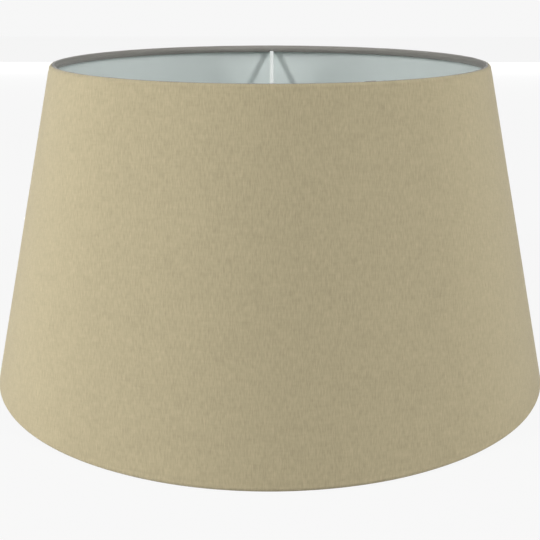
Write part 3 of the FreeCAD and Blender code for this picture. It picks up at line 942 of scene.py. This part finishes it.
def makeCamera():
    turn = math.radians(camera["turn"])
    data = bpy.data.cameras.new("camera")
    data.lens = camera["lens"]
    data.sensor_width = camera["sensor"]
    data.dof.use_dof = False
    made = bpy.data.objects.new("camera", data)
    made.location = (
        camera["distance"] * math.sin(turn),
        -camera["distance"] * math.cos(turn),
        camera["height"],
    )
    made.rotation_euler = (math.radians(90 - camera["pitch"]), 0, turn)
    bpy.context.scene.collection.objects.link(made)
    bpy.context.scene.camera = made


def makeLights():
    target = Vector(studio["target"])
    for name, values in lights.items():
        azimuth, elevation = math.radians(values["azimuth"]), math.radians(values["elevation"])
        outward = Vector((
            math.sin(azimuth) * math.cos(elevation),
            -math.cos(azimuth) * math.cos(elevation),
            math.sin(elevation),
        ))
        data = bpy.data.lights.new(name, "AREA")
        data.shape = "RECTANGLE"
        data.size, data.size_y = values["size"]
        data.energy = values["power"]
        made = bpy.data.objects.new(name, data)
        made.location = target + outward * studio["distance"]
        made.rotation_euler = outward.to_track_quat("Z", "Y").to_euler()
        bpy.context.scene.collection.objects.link(made)


def makeWorld():
    world = bpy.data.worlds.new("studio")
    bpy.context.scene.world = world
    world.use_nodes = True
    tree = world.node_tree
    tree.nodes.clear()
    make = nodeMaker(tree)
    seen = make("ShaderNodeBackground", ((1, 1, 1, 1), studio["background"]))
    fill = make("ShaderNodeBackground", ((1, 1, 1, 1), studio["ambient"]))
    path = make("ShaderNodeLightPath")
    mixed = make("ShaderNodeMixShader", (path.outputs["Is Camera Ray"], fill.outputs[0], seen.outputs[0]))
    make("ShaderNodeOutputWorld", (mixed.outputs[0],))


def makeFloor():
    reach = studio["floorSize"] / 2
    corners = [(-reach, -reach, 0), (reach, -reach, 0), (reach, reach, 0), (-reach, reach, 0)]
    mesh = bpy.data.meshes.new("floor")
    mesh.from_pydata(corners, [], [(0, 1, 2, 3)])
    floor = bpy.data.objects.new("floor", mesh)
    bpy.context.scene.collection.objects.link(floor)
    material = bpy.data.materials.new("paleFloor")
    material.use_nodes = True
    tree = material.node_tree
    tree.nodes.clear()
    make = nodeMaker(tree)
    glow = make("ShaderNodeEmission", ((1, 1, 1, 1), studio["floorGlow"]))
    matt = make("ShaderNodeBsdfDiffuse", ((studio["floorMatt"],) * 3 + (1,),))
    bounce = make("ShaderNodeBsdfDiffuse", ((studio["floorBounce"],) * 3 + (1,),))
    seen = make("ShaderNodeMixShader", (studio["floorShadow"], glow.outputs[0], matt.outputs[0]))
    path = make("ShaderNodeLightPath")
    mixed = make("ShaderNodeMixShader", (path.outputs["Is Camera Ray"], bounce.outputs[0], seen.outputs[0]))
    make("ShaderNodeOutputMaterial", (mixed.outputs[0],))
    mesh.materials.append(material)


makeCamera()
makeWorld()
makeLights()
makeFloor()
bpy.context.scene.view_settings.view_transform = "Standard"
print("studio: camera, lights and floor")

clothLook = clothMaterial()
linerLook = linerMaterial()
tapeLook = tapeMaterial()
coatLook = coatMaterial("whiteCoat")
ringLook = coatMaterial("ringCoat")
filmLook = filmMaterial()

fabricCover = makeCover()
fabricCover.data.materials.append(clothLook)
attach(fabricCover, "root")
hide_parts("fabric_cover")

seamTape = makeSeamTape()
seamTape.data.materials.append(filmLook)
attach(seamTape, "root")
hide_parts("seam_tape")
print("seam: tape laid in the lap")

linerPanel = makeLiner()
linerPanel.data.materials.append(linerLook)
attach(linerPanel, "root")
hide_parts("backing_panel")
print("liner: panel bent to the cone")

for name, node, atTop, legs in (
    ("topEdgeTape", "top_edge_tape", True, list(spoke["azimuths"].values())),
    ("bottomEdgeTape", "bottom_edge_tape", False, []),
):
    strip = makeEdgeTape(name, atTop, legs)
    strip.data.materials.append(tapeLook)
    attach(strip, "root")
    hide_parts(node)

tree = spokeTree()
for name in spoke["azimuths"]:
    wire = makeSpoke(name, tree, coatLook)
    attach(wire, "root")
    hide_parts(spoke["nodes"][name])
print("spokes: bent and set in place")

fitterRing = makeFitter()
fitterRing.data.materials.append(coatLook)
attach(fitterRing, "root")
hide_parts("fitter_ring")
print("fitter: pressed ring")

for node, look in (
    ("top_ring", ringLook), ("bottom_ring", ringLook),
    ("top_ring_adhesive", filmLook), ("bottom_ring_adhesive", filmLook),
):
    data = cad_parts[node].data
    data.materials.clear()
    data.materials.append(look)
print("carried-over pieces: finished")
